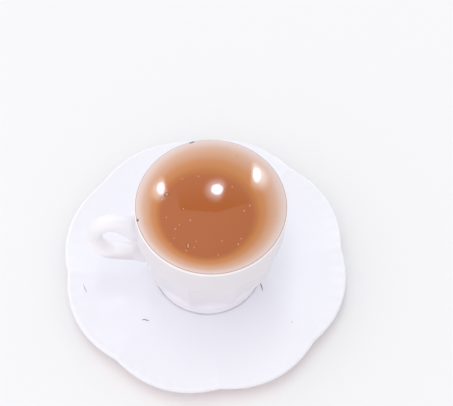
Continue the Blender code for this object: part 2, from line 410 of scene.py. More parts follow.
def saucer_profile(sizes):
    """Half section of the saucer, before its lobes are formed."""
    lip_centre_radius = sizes.radius - sizes.lip_radius
    lip_centre = (lip_centre_radius, flange_height(sizes, lip_centre_radius) - sizes.lip_radius)
    well_edge = sizes.well_radius - sizes.well_slope
    profile = [(radius, sizes.well_floor) for radius in between(0.0, well_edge, WELL_ROWS)]
    for radius in between(well_edge, lip_centre_radius, FLANGE_ROWS)[1:-1]:
        profile.append((radius, upper_height(sizes, radius)))
    profile += arc(lip_centre, sizes.lip_radius, 0.0, LIP_TURN, LIP_ROWS)
    for radius in between(lip_centre_radius, FOOT_RING_OUTER, UNDER_ROWS)[1:-1]:
        profile.append((radius, flange_height(sizes, radius) - sizes.thickness))
    profile += [
        (FOOT_RING_OUTER + FOOT_RING_SLOPE, FOOT_RECESS),
        (FOOT_RING_OUTER, 0.0),
        (FOOT_RING_INNER, 0.0),
        (FOOT_RING_INNER - FOOT_RING_SLOPE, FOOT_RECESS),
        (0.0, FOOT_RECESS),
    ]
    return profile


def saucer_rule(sizes):
    """Rule that forms the lobes, their hollows and the pressed ridges near the rim."""

    def rule(angle, radius, height):
        lobe = abs(cos(sizes.lobes * angle / 2))
        reach = smoothstep(sizes.petal_start, sizes.radius, radius)
        out = radius / sizes.radius
        band = smoothstep(RIDGE_START, RIDGE_FULL, out) * (1.0 - smoothstep(RIDGE_FADE, 1.0, out))
        on_top = height > flange_height(sizes, radius) - sizes.thickness / 2
        pressed = sizes.ridge_depth * band * (1.0 - cos(sizes.ridges * angle)) / 2 if on_top else 0.0
        new_radius = radius * (1.0 - sizes.notch_depth * reach * (1.0 - lobe))
        return new_radius, height - sizes.petal_depth * reach * (lobe - PETAL_MIDDLE) - pressed

    return rule


def saucer_surface(sizes, x, y):
    """Height of the saucer's upper face at a place, in the row frame."""
    radius = hypot(x, y)
    turned = Matrix.Rotation(-sizes.lobe_turn, 2) @ Vector((x, y))
    angle = Vector((1.0, 0.0)).angle_signed(turned)
    return saucer_rule(sizes)(angle, radius, upper_height(sizes, radius))[1]


def make_saucer(settings):
    """The saucer with its lobes, ridges, well and foot ring, its middle under the cup's foot."""
    sizes = settings.saucer
    saucer = turned_piece("fine_saucer", saucer_profile(sizes), SAUCER_STEPS, saucer_rule(sizes))
    saucer.data.transform(Matrix.Rotation(sizes.lobe_turn, 4, "Z"))
    for vertex in saucer.data.vertices:
        radius = hypot(vertex.co.x, vertex.co.y)
        vertex.co.x += WELL_SHIFT * (1.0 - smoothstep(sizes.well_radius, WELL_SHIFT_END, radius))
    fit_into_node(saucer, "saucer")
    dress(saucer, saucer_material(sizes.glaze), "saucer")


def fit_into_node(thing, node):
    """Bring a fine piece to exactly the box of the coarser CAD node that it stands for."""
    low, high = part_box(node)
    corners = [Vector(corner) for corner in thing.bound_box]
    own_low = Vector([min(corner[axis] for corner in corners) for axis in range(3)])
    own_high = Vector([max(corner[axis] for corner in corners) for axis in range(3)])
    scale = [(high[axis] - low[axis]) / (own_high[axis] - own_low[axis]) for axis in range(3)]
    stretch = Matrix.Diagonal((*scale, 1.0))
    thing.data.transform(Matrix.Translation(low) @ stretch @ Matrix.Translation(-own_low))
    thing.data.update()


# Cup

BOWL_ROWS = 30
RIM_ROWS = 14
BAND_ROWS = 4
BELLY_ROWS = 96
FOOT_ROWS = 4
FOOT_EDGE = 0.10 * MM
# Heights above the cup's foot between which the flutes deepen and then fade
FLUTE_LOW = 0.60 * MM
FLUTE_LOW_FULL = 1.50 * MM
FLUTE_HIGH_FULL = 7.65 * MM
FLUTE_HIGH = 7.95 * MM
HANDLE_RINGS = 36
HANDLE_SIDES = 48
# How much the handle thickens where it meets the cup, and how far out that reaches
FLARE = 0.12
FLARE_REACH = 0.45 * MM
# How deep in the wall a point still counts as its outer side, as a share of the rim's thickness
OUTER_SIDE = 0.25


def belly_radius(sizes, height):
    """Radius of the cup's outer wall, from its waist up to where it stands upright."""
    rise = share_between(sizes.waist_height, sizes.belly_top, height)
    return sizes.waist_radius + (sizes.radius - sizes.waist_radius) * sin(rise * pi / 2) ** sizes.belly_curve


def bowl_radius(sizes, height):
    """Radius of the cup's inside, from its floor up to where the wall stands upright."""
    rise = share_between(sizes.bowl_floor, sizes.belly_top, height)
    return (sizes.radius - sizes.rim) * sin(rise * pi / 2) ** sizes.bowl_curve


def bowl_heights(sizes):
    """Heights of the rows of the cup's inside, closest together near the floor."""
    depth = sizes.belly_top - sizes.bowl_floor
    return [sizes.bowl_floor + depth * part * part for part in between(0.0, 1.0, BOWL_ROWS)]


def rim_centre(sizes):
    """Centre of the rim's round section."""
    return sizes.radius - sizes.rim / 2, sizes.height - sizes.rim / 2


def cup_profile(sizes):
    """Half section of the cup: up its inside, over the rim and down its outer side."""
    profile = [(bowl_radius(sizes, height), height) for height in bowl_heights(sizes)]
    profile += arc(rim_centre(sizes), sizes.rim / 2, radians(-90), radians(90), RIM_ROWS)
    for height in between(rim_centre(sizes)[1], sizes.belly_top, BAND_ROWS)[1:]:
        profile.append((sizes.radius, height))
    for height in between(sizes.belly_top, sizes.waist_height, BELLY_ROWS)[1:]:
        profile.append((belly_radius(sizes, height), height))
    for part in between(0.0, 1.0, FOOT_ROWS)[1:]:
        radius = sizes.waist_radius + (sizes.foot_outer - sizes.waist_radius) * part
        profile.append((radius, sizes.waist_height + (FOOT_EDGE - sizes.waist_height) * part))
    profile += [
        (sizes.foot_outer - FOOT_EDGE, 0.0),
        (sizes.foot_inner, 0.0),
        (sizes.foot_inner - FOOT_EDGE, sizes.foot_recess),
        (0.0, sizes.foot_recess),
    ]
    return profile


def flute_rule(sizes):
    """Rule that hollows upright flutes into the belly, with a sharp ridge between each two."""

    def rule(angle, radius, height):
        if radius < belly_radius(sizes, height) - sizes.rim * OUTER_SIDE:
            return radius, height
        low = smoothstep(FLUTE_LOW, FLUTE_LOW_FULL, height)
        high = 1.0 - smoothstep(FLUTE_HIGH_FULL, FLUTE_HIGH, height)
        return radius - sizes.flute_depth * low * high * abs(sin(sizes.flutes * angle / 2)), height

    return rule


def handle_line():
    """Centre line of the handle as (place, tangent, thickness share), in the cup's own frame."""
    knots = []
    for out, up, share, tangent_out, tangent_up in HANDLE_PATH:
        knots.append((Vector((out, 0.0, up)) * MM, Vector((tangent_out, 0.0, tangent_up)) * MM, share))
    line = []
    for (place, tangent, share), (next_place, next_tangent, next_share) in zip(knots, knots[1:]):
        ends = (place, place + tangent, next_place - next_tangent, next_place)
        points = interpolate_bezier(*ends, HANDLE_RINGS)
        for row, point in enumerate(points[:-1]):
            part = smoothstep(0.0, 1.0, row / (HANDLE_RINGS - 1))
            line.append((point, points[row + 1] - point, share + (next_share - share) * part))
    line.append((knots[-1][0], knots[-1][1], knots[-1][2]))
    return line


def leaning():
    """Matrix of the cup's lean, in its own frame."""
    matrix = Matrix.Identity(4)
    matrix[0][2] = CUP_LEAN
    matrix[0][3] = -CUP_LEAN * CUP_TALL
    return matrix


def make_handle(sizes):
    """The handle as a closed tube that flares where it meets the cup and ends inside its wall."""
    shape = bmesh.new()
    rings = []
    for place, tangent, share in handle_line():
        gap = max(place.x - belly_radius(sizes, place.z), 0.0) / FLARE_REACH
        radius = sizes.handle_thickness / 2 * share * (1.0 + FLARE * exp(-gap * gap))
        side = Vector((0.0, sizes.handle_widening, 0.0))
        rise = tangent.normalized().cross(Vector((0.0, 1.0, 0.0)))
        rings.append(round_ring(shape, place, side, rise, radius, HANDLE_SIDES))
    close_tube(shape, rings)
    return solid_from(shape, "handle_tube")


def make_cup(settings):
    """The fluted cup with its handle fused on."""
    sizes = settings.cup
    cup = turned_piece("fine_cup", cup_profile(sizes), CUP_STEPS, flute_rule(sizes))
    handle = make_handle(sizes)
    join = cup.modifiers.new("Join handle", "BOOLEAN")
    join.operation = "UNION"
    join.solver = "EXACT"
    join.object = handle
    graph = bpy.context.evaluated_depsgraph_get()
    joined = bpy.data.meshes.new_from_object(cup.evaluated_get(graph))
    cup.modifiers.clear()
    cup.data = joined
    bpy.data.objects.remove(handle, do_unlink=True)
    joined.transform(Matrix.Translation(CUP_PLACE) @ leaning() @ Matrix.Rotation(sizes.turn, 4, "Z"))
    fit_into_node(cup, "cup")
    dress(cup, cup_material(sizes), "cup")


# Coffee

DOME_ROWS = 60
FILM_ROWS = 5
CREEP_ROWS = 12
COFFEE_STEPS = 320
# Length over which the dome's slope is measured
SLOPE_STEP = 0.01 * MM


def coffee_edge(settings):
    """Radius and height of the dome's edge, on the round of the rim."""
    centre_radius, centre_height = rim_centre(settings.cup)
    reach = settings.cup.rim / 2 + settings.coffee.film
    angle = settings.coffee.edge_angle
    return centre_radius + reach * sin(angle), centre_height + reach * cos(angle)


def film_radius(settings):
    """Radius at which the film on the rim ends."""
    reach = settings.cup.rim / 2 + settings.coffee.film
    return rim_centre(settings.cup)[0] + reach * sin(settings.coffee.film_angle)


def dome_height(settings, radius):
    """Height of the resin's free surface above the cup's foot: flatter in the middle than a ball."""
    edge_radius, edge_height = coffee_edge(settings)
    share = radius / edge_radius
    flatness = settings.coffee.flatness
    bulge = (1.0 - flatness) * (1.0 - share ** 2) + flatness * (1.0 - share ** 4)
    return edge_height + settings.coffee.rise * bulge


def dome_normal(settings, x, y):
    """Upward normal of the dome at a place beside the cup's axis."""
    radius = hypot(x, y)
    rise = dome_height(settings, radius + SLOPE_STEP) - dome_height(settings, radius)
    slope = rise / SLOPE_STEP
    return Vector((-slope * x / radius, -slope * y / radius, 1.0)).normalized()


def coffee_profile(settings):
    """Half section of the resin: the dome out to the rim's crown, then in and down the bowl."""
    cup = settings.cup
    sink = settings.coffee.sink
    edge_radius = coffee_edge(settings)[0]
    film_angle = settings.coffee.film_angle
    profile = [(radius, dome_height(settings, radius)) for radius in between(0.0, edge_radius, DOME_ROWS)]
    reach = cup.rim / 2 + settings.coffee.film
    profile += arc(rim_centre(cup), reach, settings.coffee.edge_angle, film_angle, FILM_ROWS)[1:]
    profile += arc(rim_centre(cup), cup.rim / 2 - sink, film_angle, radians(-90), CREEP_ROWS)
    for height in reversed(bowl_heights(cup)):
        profile.append((bowl_radius(cup, height) + sink, height))
    profile.append((0.0, cup.bowl_floor - sink))
    return profile


def make_coffee(settings):
    """The resin that fills the cup, reaches just into its wall and domes over its rim."""
    coffee = turned_piece("resin_coffee", coffee_profile(settings), COFFEE_STEPS, plain_rule)
    coffee.data.transform(leaning())
    coffee.location = CUP_PLACE
    dress(coffee, resin_material(settings), "coffee")


# Bubbles, flecks and lint

BUBBLE_SIDES = 16
BUBBLE_FLATNESS = 0.35
EDGE_SIDES = 24
EDGE_TUBE_SIDES = 8
# The painted shade ring round a bubble's edge: how thick as a share of its radius, how flat, and how
# much wider it runs round the first bubble and, in width and length, round the long one
BUBBLE_EDGE_SHARE = 0.4
BUBBLE_EDGE_FLATNESS = 0.4
FIRST_EDGE_REACH = 1.3
LONG_EDGE_REACH = (1.4, 1.1)
# The long bubble: place, half width and half length in millimetres, and its turn
LONG_BUBBLE = (-1.75, -4.21)
LONG_BUBBLE_SIZE = (0.085, 0.21)
LONG_BUBBLE_TURN = radians(28)
LINT_SIDES = 8
LINT_ROWS = 16


def on_dome(settings, x, y):
    """Matrix that lays a small thing on the dome at a place in millimetres beside the cup's axis."""
    x, y = x * MM, y * MM
    place = CUP_PLACE + leaning() @ Vector((x, y, dome_height(settings, hypot(x, y))))
    turn = dome_normal(settings, x, y).to_track_quat("Z", "Y").to_matrix()
    return Matrix.Translation(place) @ turn.to_4x4()


def add_drop(shape, place, width, length, turn=0.0):
    """Add a flattened round drop to a bmesh."""
    size = Matrix.Diagonal((width, length, min(width, length) * BUBBLE_FLATNESS, 1.0))
    matrix = place @ Matrix.Rotation(turn, 4, "Z") @ size
    bmesh.ops.create_uvsphere(
        shape, u_segments=BUBBLE_SIDES, v_segments=BUBBLE_SIDES // 2, radius=1.0, matrix=matrix
    )


def add_ring(shape, place, width, length, thickness, turn=0.0):
    """Add a thin closed ring to a bmesh."""
    matrix = place @ Matrix.Rotation(turn, 4, "Z")
    rise = UP * BUBBLE_EDGE_FLATNESS
    rings = []
    for step in range(EDGE_SIDES):
        angle = 2 * pi * step / EDGE_SIDES
        outward = Vector((cos(angle), sin(angle), 0.0))
        centre = Vector((width * cos(angle), length * sin(angle), 0.0))
        rings.append(round_ring(shape, centre, outward, rise, thickness, EDGE_TUBE_SIDES))
    for ring, following in zip(rings, rings[1:] + rings[:1]):
        join_rings(shape, ring, following)
        for vertex in ring:
            vertex.co = matrix @ vertex.co


def make_bubbles(settings):
    """Pale bubbles in the resin's skin, the two largest with a painted shade ring round their edge."""
    drops = bmesh.new()
    for x, y, radius in BUBBLES:
        add_drop(drops, on_dome(settings, x, y), radius * MM, radius * MM)
    long_place = on_dome(settings, *LONG_BUBBLE)
    width, length = (size * MM for size in LONG_BUBBLE_SIZE)
    add_drop(drops, long_place, width, length, LONG_BUBBLE_TURN)
    skin = speck_material("bubble_skin", settings.detail.bubble_colour, BUBBLE_ROUGHNESS)
    dress(solid_from(drops, "coffee_bubbles"), skin)
    # Painted shade rings round the two largest bubbles
    shade_rings = bmesh.new()
    x, y, radius = BUBBLES[0]
    reach = radius * MM * FIRST_EDGE_REACH
    add_ring(shade_rings, on_dome(settings, x, y), reach, reach, radius * MM * BUBBLE_EDGE_SHARE)
    wide, long = width * LONG_EDGE_REACH[0], length * LONG_EDGE_REACH[1]
    add_ring(shade_rings, long_place, wide, long, width * BUBBLE_EDGE_SHARE, LONG_BUBBLE_TURN)
    dark = speck_material("bubble_edge_shade", settings.detail.bubble_shade_colour, BUBBLE_ROUGHNESS)
    dress(solid_from(shade_rings, "bubble_shade_rings"), dark)


# Dust flecks: place in millimetres beside the cup's axis, half width, half length and turn
FLECKS = (
    (-1.76, 5.90, 0.11, 0.26, radians(-72)),
    (-5.97, -1.55, 0.12, 0.12, 0.0),
    (2.00, 4.20, 0.04, 0.05, radians(15)),
)


def make_flecks(settings):
    """Dark dust flecks caught in the resin at the rim."""
    shape = bmesh.new()
    for x, y, width, length, turn in FLECKS:
        add_drop(shape, on_dome(settings, x, y), width * MM, length * MM, turn)
    material = speck_material("dust", settings.detail.fleck_colour, DUST_ROUGHNESS)
    dress(solid_from(shape, "dust_flecks"), material)


# Fibres on the saucer as lines of places in millimetres, across and back from its middle
FIBRES = (
    ((-10.65, -1.81), (-10.62, -2.14), (-10.51, -2.57), (-10.35, -2.95), (-10.19, -3.26)),
    ((-5.32, -5.50), (-5.10, -5.42), (-4.90, -5.50), (-4.68, -5.50)),
    ((4.74, -1.41), (4.86, -1.65), (4.99, -1.99), (5.09, -2.37)),
    ((7.60, -5.42), (7.68, -5.46)),
)


def neighbour_steps(points):
    """Direction at each point of a row, from the point before it to the one after."""
    last = len(points) - 1
    return [
        (points[min(index + 1, last)] - points[max(index - 1, 0)]).normalized()
        for index in range(len(points))
    ]


def fibre_points(settings, fibre):
    """A smooth row of points along a fibre that lies on the saucer."""
    knots = [(Vector(knot) * MM).to_3d() for knot in fibre]
    directions = neighbour_steps(knots)
    points = []
    for index, (start, end) in enumerate(zip(knots, knots[1:])):
        reach = (end - start).length / 3
        first = start + directions[index] * reach
        second = end - directions[index + 1] * reach
        points += interpolate_bezier(start, first, second, end, LINT_ROWS)[:-1]
    points.append(knots[-1])
    for point in points:
        point.z = saucer_surface(settings.saucer, point.x, point.y) + settings.lint.radius
    return points


def make_lint(settings):
    """Loose fibres on the saucer, thinner towards their ends."""
    shape = bmesh.new()
    for fibre in FIBRES:
        points = fibre_points(settings, fibre)
        rings = []
        for row, (point, ahead) in enumerate(zip(points, neighbour_steps(points)), start=1):
            side = ahead.cross(UP).normalized()
            radius = settings.lint.radius * sqrt(sin(pi * row / (len(points) + 1)))
            rings.append(round_ring(shape, point, side, UP, radius, LINT_SIDES))
        close_tube(shape, rings)
    material = speck_material("lint_fibre", settings.lint.colour, LINT_ROUGHNESS)
    dress(solid_from(shape, "lint"), material)


# Materials

GLAZE_ROUGHNESS_LOW = 0.361
GLAZE_ROUGHNESS = 0.38
GLAZE_ROUGHNESS_HIGH = 0.399
GLAZE_GLOSS = 0.3
GLAZE_IOR = 1.5
GLAZE_CLOUD_SCALE = 260.0
# Brightness of the glaze where its clouds are darkest, and palest on the saucer
GLAZE_CLOUD_DARK = 0.997
GLAZE_CLOUD_PALE = 1.003
GLAZE_RIPPLE_SCALE = 900.0
GLAZE_RIPPLE_HEIGHT = 0.012 * MM
RESIN_ROUGHNESS = 0.05
RESIN_IOR = 1.5
RESIN_CLOUD_SCALE = 420.0
RESIN_CLOUD_DEPTH = 0.05
NOISE_DETAIL = 2.0
NOISE_MIDDLE = 0.5
RESIN_RIPPLE_SCALE = 350.0
RESIN_RIPPLE_HEIGHT = 0.004 * MM
BUBBLE_ROUGHNESS = 0.15
DUST_ROUGHNESS = 0.7
LINT_ROUGHNESS = 0.8
SPECK_SCALE = 4000.0
SPECK_DEPTH = 0.7
# Heights above the cup's foot between which the glaze turns to the band's, and between which the painted
# light low on the belly fades out
BAND_LOW = 7.9 * MM
BAND_HIGH = 8.9 * MM
FOOT_BRIGHT = 1.0 * MM
FOOT_BRIGHT_END = 4.5 * MM
# Depths below the top of the rim between which the glaze turns to a painted highlight along the rim
RIM_PAINTED_LIGHT_START = 0.50 * MM
RIM_PAINTED_LIGHT_FULL = 0.25 * MM
# Heights between which the handle's painted shade underneath turns to painted light on top of its lower arm
# and then to the paler upper arm, and how far out from the axis that painting begins
HANDLE_UNDER = 3.6 * MM
HANDLE_TOP = 4.2 * MM
HANDLE_BEND = 5.5 * MM
HANDLE_CROWN = 7.5 * MM
HANDLE_NEAR = 6.3 * MM
HANDLE_FAR = 6.9 * MM


def opaque(colour):
    """A colour with full alpha."""
    return (colour[0], colour[1], colour[2], 1.0)


def shaded(colour, factor):
    """A colour scaled in brightness."""
    return tuple(channel * factor for channel in colour)


def new_material(name, roughness, ior):
    """A material with its node tree, its shader and its object-space coordinates."""
    material = bpy.data.materials.new(name)
    material.use_nodes = True
    tree = material.node_tree
    shader = tree.nodes["Principled BSDF"]
    shader.inputs["Roughness"].default_value = roughness
    shader.inputs["IOR"].default_value = ior
    place = tree.nodes.new("ShaderNodeTexCoord").outputs["Object"]
    return material, tree, shader, place


def noise_node(tree, place, scale):
    """A noise texture's factor."""
    noise = tree.nodes.new("ShaderNodeTexNoise")
    noise.inputs["Scale"].default_value = scale
    noise.inputs["Detail"].default_value = NOISE_DETAIL
    tree.links.new(place, noise.inputs["Vector"])
    return noise.outputs["Fac"]


def fill(tree, socket, value):
    """Link a socket from another one, or set it to a value."""
    if isinstance(value, bpy.types.NodeSocket):
        tree.links.new(value, socket)
    else:
        socket.default_value = value


def mix_colours(tree, factor, first, second):
    """Mix two colours or colour sockets by a factor socket."""
    mix = tree.nodes.new("ShaderNodeMix")
    mix.data_type = "RGBA"
    tree.links.new(factor, mix.inputs["Factor"])
    for value, socket in ((first, mix.inputs["A"]), (second, mix.inputs["B"])):
        fill(tree, socket, value if isinstance(value, bpy.types.NodeSocket) else opaque(value))
    return mix.outputs["Result"]


def math_node(tree, operation, *values, clamp=False):
    """One arithmetic step on sockets or numbers."""
    node = tree.nodes.new("ShaderNodeMath")
    node.operation = operation
    node.use_clamp = clamp
    for value, socket in zip(values, node.inputs):
        fill(tree, socket, value)
    return node.outputs["Value"]


def vector_node(tree, operation, *values):
    """One step of vector arithmetic on sockets or fixed vectors, as a node."""
    node = tree.nodes.new("ShaderNodeVectorMath")
    node.operation = operation
    for value, socket in zip(values, node.inputs):
        fill(tree, socket, value)
    return node


def vector_length(tree, vector):
    """Length of a vector socket."""
    return vector_node(tree, "LENGTH", vector).outputs["Value"]


def scaled_colour(tree, tone, factor):
    """A colour socket scaled in brightness by a factor socket."""
    scale = vector_node(tree, "SCALE", tone)
    tree.links.new(factor, scale.inputs["Scale"])
    return scale.outputs["Vector"]


def axes_of(tree, place):
    """The X, Y and Z sockets of a place socket."""
    split = tree.nodes.new("ShaderNodeSeparateXYZ")
    tree.links.new(place, split.inputs["Vector"])
    return split.outputs


def smooth_range(tree, value, low, high):
    """Ease from 0 at low to 1 at high."""
    span = tree.nodes.new("ShaderNodeMapRange")
    span.interpolation_type = "SMOOTHSTEP"
    span.inputs["From Min"].default_value = low
    span.inputs["From Max"].default_value = high
    tree.links.new(value, span.inputs["Value"])
    return span.outputs["Result"]


def add_bump(tree, shader, height, distance):
    """Drive a shader's normal from a height socket."""
    bump = tree.nodes.new("ShaderNodeBump")
    bump.inputs["Strength"].default_value = 1.0
    bump.inputs["Distance"].default_value = distance
    tree.links.new(height, bump.inputs["Height"])
    tree.links.new(bump.outputs["Normal"], shader.inputs["Normal"])


def vary_roughness(tree, shader, factor, low, high):
    """Let roughness wander with a factor socket."""
    spread = tree.nodes.new("ShaderNodeMapRange")
    spread.inputs["To Min"].default_value = low
    spread.inputs["To Max"].default_value = high
    tree.links.new(factor, spread.inputs["Value"])
    tree.links.new(spread.outputs["Result"], shader.inputs["Roughness"])


def new_glaze(name):
    """Glaze with an uneven surface: its material, tree, shader, object-space place and clouds."""
    material, tree, shader, place = new_material(name, GLAZE_ROUGHNESS, GLAZE_IOR)
    shader.inputs["Specular IOR Level"].default_value = GLAZE_GLOSS
    clouds = noise_node(tree, place, GLAZE_CLOUD_SCALE)
    vary_roughness(tree, shader, clouds, GLAZE_ROUGHNESS_LOW, GLAZE_ROUGHNESS_HIGH)
    add_bump(tree, shader, noise_node(tree, place, GLAZE_RIPPLE_SCALE), GLAZE_RIPPLE_HEIGHT)
    return material, tree, shader, place, clouds


def saucer_material(colour):
    """White glaze, a little uneven in tone."""
    material, tree, shader, place, clouds = new_glaze("saucer_glaze")
    dark, pale = shaded(colour, GLAZE_CLOUD_DARK), shaded(colour, GLAZE_CLOUD_PALE)
    tree.links.new(mix_colours(tree, clouds, dark, pale), shader.inputs["Base Color"])
    return material


def cup_material(sizes):
    """Glaze that is creamier on the band than on the belly, with a painted highlight along the rim, painted
    light low on the belly, and painted light and shade on the handle.
    """
    material, tree, shader, place, clouds = new_glaze("cup_glaze")
    axes = axes_of(tree, place)
    height = math_node(tree, "SUBTRACT", axes["Z"], CUP_PLACE.z)
    # Painted light low on the belly, fading out by FOOT_BRIGHT_END
    above = smooth_range(tree, height, FOOT_BRIGHT, FOOT_BRIGHT_END)
    belly = mix_colours(tree, above, sizes.foot_painted_light, sizes.glaze)
    band = smooth_range(tree, height, BAND_LOW, BAND_HIGH)
    tone = mix_colours(tree, band, belly, sizes.band_colour)
    # Painted highlight: the glaze turns whiter along the top of the rim
    rim = smooth_range(tree, height, CUP_TALL - RIM_PAINTED_LIGHT_START, CUP_TALL - RIM_PAINTED_LIGHT_FULL)
    tone = mix_colours(tree, rim, tone, sizes.rim_painted_light)
    # Painted shade under the handle's lower arm, painted light on top of it and on the upper arm
    inner = smooth_range(tree, height, HANDLE_UNDER, HANDLE_TOP)
    handle = mix_colours(tree, inner, sizes.handle_underside_shade, sizes.handle_lower_arm_lit)
    upper = smooth_range(tree, height, HANDLE_BEND, HANDLE_CROWN)
    handle = mix_colours(tree, upper, handle, sizes.handle_upper_arm_lit)
    outward = math_node(tree, "SUBTRACT", CUP_PLACE.x, axes["X"])
    tone = mix_colours(tree, smooth_range(tree, outward, HANDLE_NEAR, HANDLE_FAR), tone, handle)
    shade = math_node(tree, "MULTIPLY_ADD", clouds, 1.0 - GLAZE_CLOUD_DARK, GLAZE_CLOUD_DARK)
    tree.links.new(scaled_colour(tree, tone, shade), shader.inputs["Base Color"])
    return material


# Where the resin starts to thin at the sides, as a share of the film's radius, and how much sooner that is
# straight behind the middle, and to its right, the earlier paling there being partly painted reflection
THIN_START = 0.50
BACK_THINNING_AND_REFLECTION = 0.29
RIGHT_THINNING_AND_REFLECTION = 0.06
# Keeps the height out of a place
FLAT = (1.0, 1.0, 0.0)
# How thin the resin is, from 0 to 1, where each of its six tones is reached
THINNING = (0.0, 0.13, 0.29, 0.5, 0.78, 0.95)
# The second tone, as a share of the way from the deep colour to the amber one
SOFT_START_SHARE = 0.22
# Where the painted shade line between resin and glaze starts and is full, as shares of the film's radius
EDGE_SHADE_START = 0.985
EDGE_SHADE_FULL = 0.998


def thinning(tree, place, share):
    """How thin the resin is at a place, from 0 to 1, sooner at the back and on the right than in front, that
    earlier paling being partly painted reflection.
    """
    axes = axes_of(tree, place)
    distance = math_node(tree, "MAXIMUM", vector_length(tree, flat_place(tree, place)), TINY)
    start = THIN_START
    # The earlier paling at the back and on the right is partly painted reflection
    for axis, sooner in (("Y", BACK_THINNING_AND_REFLECTION), ("X", RIGHT_THINNING_AND_REFLECTION)):
        part = math_node(tree, "DIVIDE", axes[axis], distance)
        start = math_node(tree, "SUBTRACT", start, math_node(tree, "MULTIPLY", part, sooner))
    clouds = noise_node(tree, place, RESIN_CLOUD_SCALE)
    drift = math_node(tree, "SUBTRACT", clouds, NOISE_MIDDLE)
    drift = math_node(tree, "MULTIPLY", drift, RESIN_CLOUD_DEPTH)
    over = math_node(tree, "SUBTRACT", share, start)
    thinness = math_node(tree, "DIVIDE", over, math_node(tree, "SUBTRACT", 1.0, start))
    return math_node(tree, "ADD", thinness, drift, clamp=True)


def flat_place(tree, place):
    """A place with its height taken out."""
    return vector_node(tree, "MULTIPLY", place, FLAT).outputs["Vector"]


def resin_tones(tree, thinness, colours):
    """Colour of the resin from deep to thinnest, as a smooth ramp through its tones."""
    ramp = tree.nodes.new("ShaderNodeValToRGB")
    ramp.color_ramp.interpolation = "CARDINAL"
    second = Vector(colours.deep).lerp(Vector(colours.amber), SOFT_START_SHARE)
    tones = (colours.deep, second, colours.amber, colours.tan, colours.milk, colours.edge)
    first, *middle, last = zip(THINNING, tones)
    elements = ramp.color_ramp.elements
    for element, (position, colour) in zip(elements, (first, last)):
        element.position = position
        element.color = opaque(colour)
    for position, colour in middle:
        elements.new(position).color = opaque(colour)
    tree.links.new(thinness, ramp.inputs["Fac"])
    return ramp.outputs["Color"]


def resin_material(settings):
    """Milky brown resin that pales where it thins over the wall, with a painted shade line where it ends."""
    material, tree, shader, place = new_material("coffee_resin_look", RESIN_ROUGHNESS, RESIN_IOR)
    distance = vector_length(tree, flat_place(tree, place))
    share = math_node(tree, "DIVIDE", distance, film_radius(settings))
    tone = resin_tones(tree, thinning(tree, place, share), settings.coffee)
    # Painted shade line along the resin's outer edge
    line = smooth_range(tree, share, EDGE_SHADE_START, EDGE_SHADE_FULL)
    tone = mix_colours(tree, line, tone, settings.coffee.edge_shade_line)
    tree.links.new(tone, shader.inputs["Base Color"])
    add_bump(tree, shader, noise_node(tree, place, RESIN_RIPPLE_SCALE), RESIN_RIPPLE_HEIGHT)
    return material


def speck_material(name, colour, roughness):
    """Finish of a tiny thing, mottled so that it isn't one flat colour."""
    material, tree, shader, place = new_material(name, roughness, RESIN_IOR)
    grain = noise_node(tree, place, SPECK_SCALE)
    tone = mix_colours(tree, grain, shaded(colour, SPECK_DEPTH), colour)
    tree.links.new(tone, shader.inputs["Base Color"])
    return material


# Stage

TABLE_CLOUD_SCALE = 60.0
TABLE_CLOUD_DEPTH = 0.995
TABLE_ROUGHNESS = 0.6
# Middle of the painted warm shadow tint on the table, and the distances from it where that is full and ends
TABLE_SHADOW_TINT_PLACE = (0.0, -1.5 * MM, 0.0)
TABLE_SHADOW_TINT_NEAR = 9.0 * MM
TABLE_SHADOW_TINT_FAR = 13.2 * MM
# Size of the picture and place of the cup's foot in it, in pixels across and down
PICTURE = Vector((453.0, 406.0))
FOCUS = Vector((210.5, 269.8))
PICTURE_MIDDLE = 0.5
FOCAL_LENGTH = 134.65
SENSOR_WIDTH = 36.0
CAMERA_NEAR = 0.001
CAMERA_FAR = 10.0
OVERHEAD_HEIGHT = 0.45
OVERHEAD_WIDTH = 0.045
OVERHEAD_LENGTH = 0.40
OVERHEAD_LEAN = radians(5)
LAMP_DISTANCE = 0.6
# Lamps seen only as reflections: azimuth from +Y towards +X, elevation, half length, half width and
# tilt of the long side from level, all in degrees, then the brightness, the side that is cut off, and
# how much longer and wider the glow is than the lamp
LAMPS = (
    (-44.5, 34.7, 8.0, 4.2, 111.6, 26.0, 1.0, 1.9, 3.0),
    (4.2, 57.5, 4.1, 3.6, 96.4, 60.0, 1.0, 2.5, 2.3),
    (30.9, 25.6, 11.5, 3.6, 74.7, 26.0, -1.0, 1.9, 3.6),
)
# Where the lamp's core is full and ends, as shares of its own size
LAMP_CORE = 0.2
LAMP_CORE_END = 1.05
# Brightness of the glow, and where it is full, as a share of its own size
LAMP_GLOW = 9.0
LAMP_GLOW_START = 0.1
# Where the glow is cut off across the lamp, and how soft the cut is
LAMP_CUT = 1.5
LAMP_CUT_SOFT = 0.9
# A cool white, so that the glow over the brown resin isn't orange
LAMP_COLOUR = (0.70, 0.88, 1.0)
# How fast the colour of the surroundings turns from the horizon's to the zenith's
HORIZON_RISE = 0.5
# The dark opening that the dome mirrors: its corners as azimuth and elevation in degrees, how far it
# is, its brightness high up and low down, and the heights between which that turns
OPENING_CORNERS = ((-27.8, 37.2), (-48.8, 63.0), (9.7, 73.2), (44.7, 55.4), (18.2, 26.0))
OPENING_DISTANCE = 0.84
OPENING_DARK = 0.22
OPENING_PALE = 0.95
OPENING_DARK_HEIGHT = 0.78
OPENING_PALE_HEIGHT = 0.58


def direction(azimuth, elevation):
    """Unit vector from an azimuth, from +Y towards +X, and an elevation in degrees."""
    azimuth, elevation = radians(azimuth), radians(elevation)
    flat = cos(elevation)
    return Vector((sin(azimuth) * flat, cos(azimuth) * flat, sin(elevation)))


